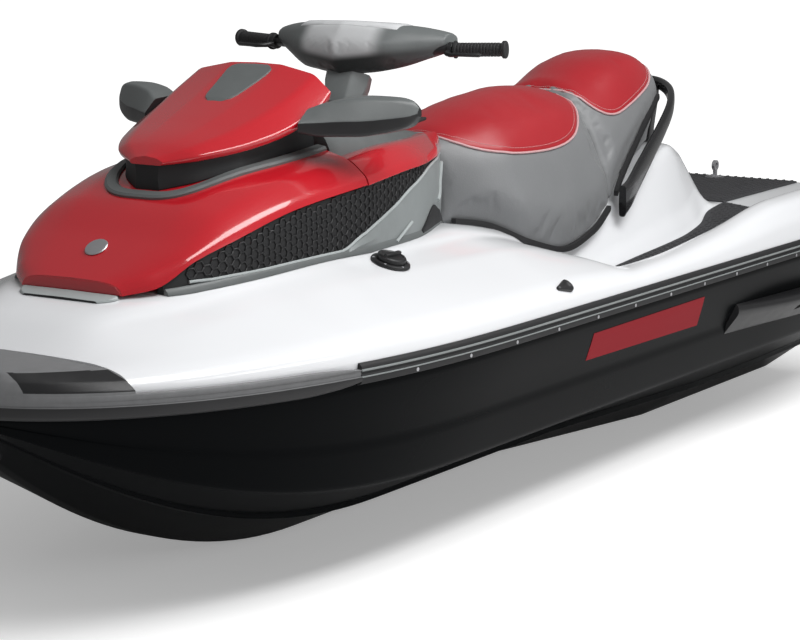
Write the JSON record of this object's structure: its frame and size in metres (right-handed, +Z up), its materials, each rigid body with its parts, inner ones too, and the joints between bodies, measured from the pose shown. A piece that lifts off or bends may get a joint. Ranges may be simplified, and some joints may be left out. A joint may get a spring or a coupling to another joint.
{
  "type": "personal watercraft",
  "caption": "Jet-driven personal watercraft with V hull, opening front hood, handlebar steering, stepped bench seat and rear boarding platform.",
  "frame": {"origin": "bottom centre of the bounding box, under the keel on the centre plane", "axes": "+X towards the bow, +Y to port, +Z up"},
  "size_m": [3.54, 1.22, 1.169],
  "materials": {
    "hull_black": "satin black gelcoat",
    "deck_white": "gloss white gelcoat",
    "body_red": "deep gloss red",
    "trim_grey": "satin grey moulding",
    "trim_black": "satin black moulding",
    "rubber_black": "soft matt rubber",
    "bumper_grey": "satin grey rubber",
    "mat_grey": "matt foam traction mat",
    "seat_vinyl": "matt marine vinyl",
    "pad_silver": "satin silver",
    "mirror_glass": "polished",
    "cast_metal": "cast aluminium",
    "steel": "stainless steel",
    "engine_grey": "painted casting"
  },
  "bodies": {
    "craft": {"hull_shell": "hull_black", "deck": "deck_white", "bow_bumper": "bumper_grey", "rub_rails": "trim_grey", "sponsons": "trim_black", "deck_mats": "mat_grey", "step_brackets": "steel", "hood_bracket": "trim_black", "nose_trim": "trim_grey", "vents": "trim_black", "side_fairings": "body_red", "storage_bin": "trim_black", "console": "trim_black", "gauge_cluster": "trim_grey", "grab_handle": "trim_black", "engine": "engine_grey", "pump_housing": "cast_metal", "intake_grate": "cast_metal", "ride_plate": "hull_black", "bow_eye": "steel", "stern_eyes": "steel", "tow_hook": "steel", "fuel_cap": "trim_black", "cleats": "trim_black", "flush_port": "trim_black"},
    "hood": {"hood_panel": "body_red", "hood_band": "trim_black", "hood_visor": "body_red", "hood_inset": "trim_grey", "hood_straps": "steel", "mirrors": "trim_black", "mirror_glass": "mirror_glass"},
    "steering": {"steering_post": "trim_black", "handlebar": "steel", "handlebar_pad": "trim_grey", "pad_cover": "pad_silver", "grips": "rubber_black", "levers": "trim_black"},
    "driver_seat": {"driver_seat": "seat_vinyl"},
    "passenger_seat": {"passenger_seat": "seat_vinyl"},
    "impeller_shaft": {"impeller": "steel"},
    "nozzle": {"steering_nozzle": "cast_metal"},
    "bucket": {"reverse_bucket": "cast_metal"},
    "glovebox": {"glovebox_lid": "trim_black"},
    "step": {"boarding_step": "steel"}
  },
  "joints": [
    {"name": "steering_turn", "type": "hinge", "parent": "craft", "child": "steering", "pos_m": [0.308, 0, 1.102], "axis": [-0.3584, 0, 0.9336], "range_deg": [-35, 35]},
    {"name": "nozzle_turn", "type": "hinge", "parent": "craft", "child": "nozzle", "pos_m": [-1.508, 0, 0.13], "axis": [0, 0, 1], "range_deg": [-20, 20]},
    {"name": "impeller_spin", "type": "hinge", "parent": "craft", "child": "impeller_shaft", "pos_m": [-1.245, 0, 0.13], "axis": [1, 0, 0], "continuous": true},
    {"name": "bucket_lower", "type": "hinge", "parent": "craft", "child": "bucket", "pos_m": [-1.548, 0, 0.13], "axis": [0, -1, 0], "range_deg": [0, 66]},
    {"name": "hood_open", "type": "hinge", "parent": "craft", "child": "hood", "pos_m": [1.366, 0, 0.669], "axis": [0, 1, 0], "range_deg": [0, 60]},
    {"name": "glovebox_open", "type": "hinge", "parent": "craft", "child": "glovebox", "pos_m": [0.195, 0, 0.905], "axis": [0, 1, 0], "range_deg": [0, 60]},
    {"name": "driver_seat_lift", "type": "slide", "parent": "craft", "child": "driver_seat", "axis": [0, 0, 1], "range_m": [0, 0.15]},
    {"name": "passenger_seat_lift", "type": "slide", "parent": "craft", "child": "passenger_seat", "axis": [0, 0, 1], "range_m": [0, 0.25]},
    {"name": "step_lower", "type": "hinge", "parent": "craft", "child": "step", "pos_m": [-1.73, 0, 0.33], "axis": [0, -1, 0], "range_deg": [0, 150], "stiffness_Nm_per_rad": 0.3}
  ],
  "couplings": [
    {"joint": "nozzle_turn", "follows": "steering_turn", "ratio": -0.57}
  ]
}
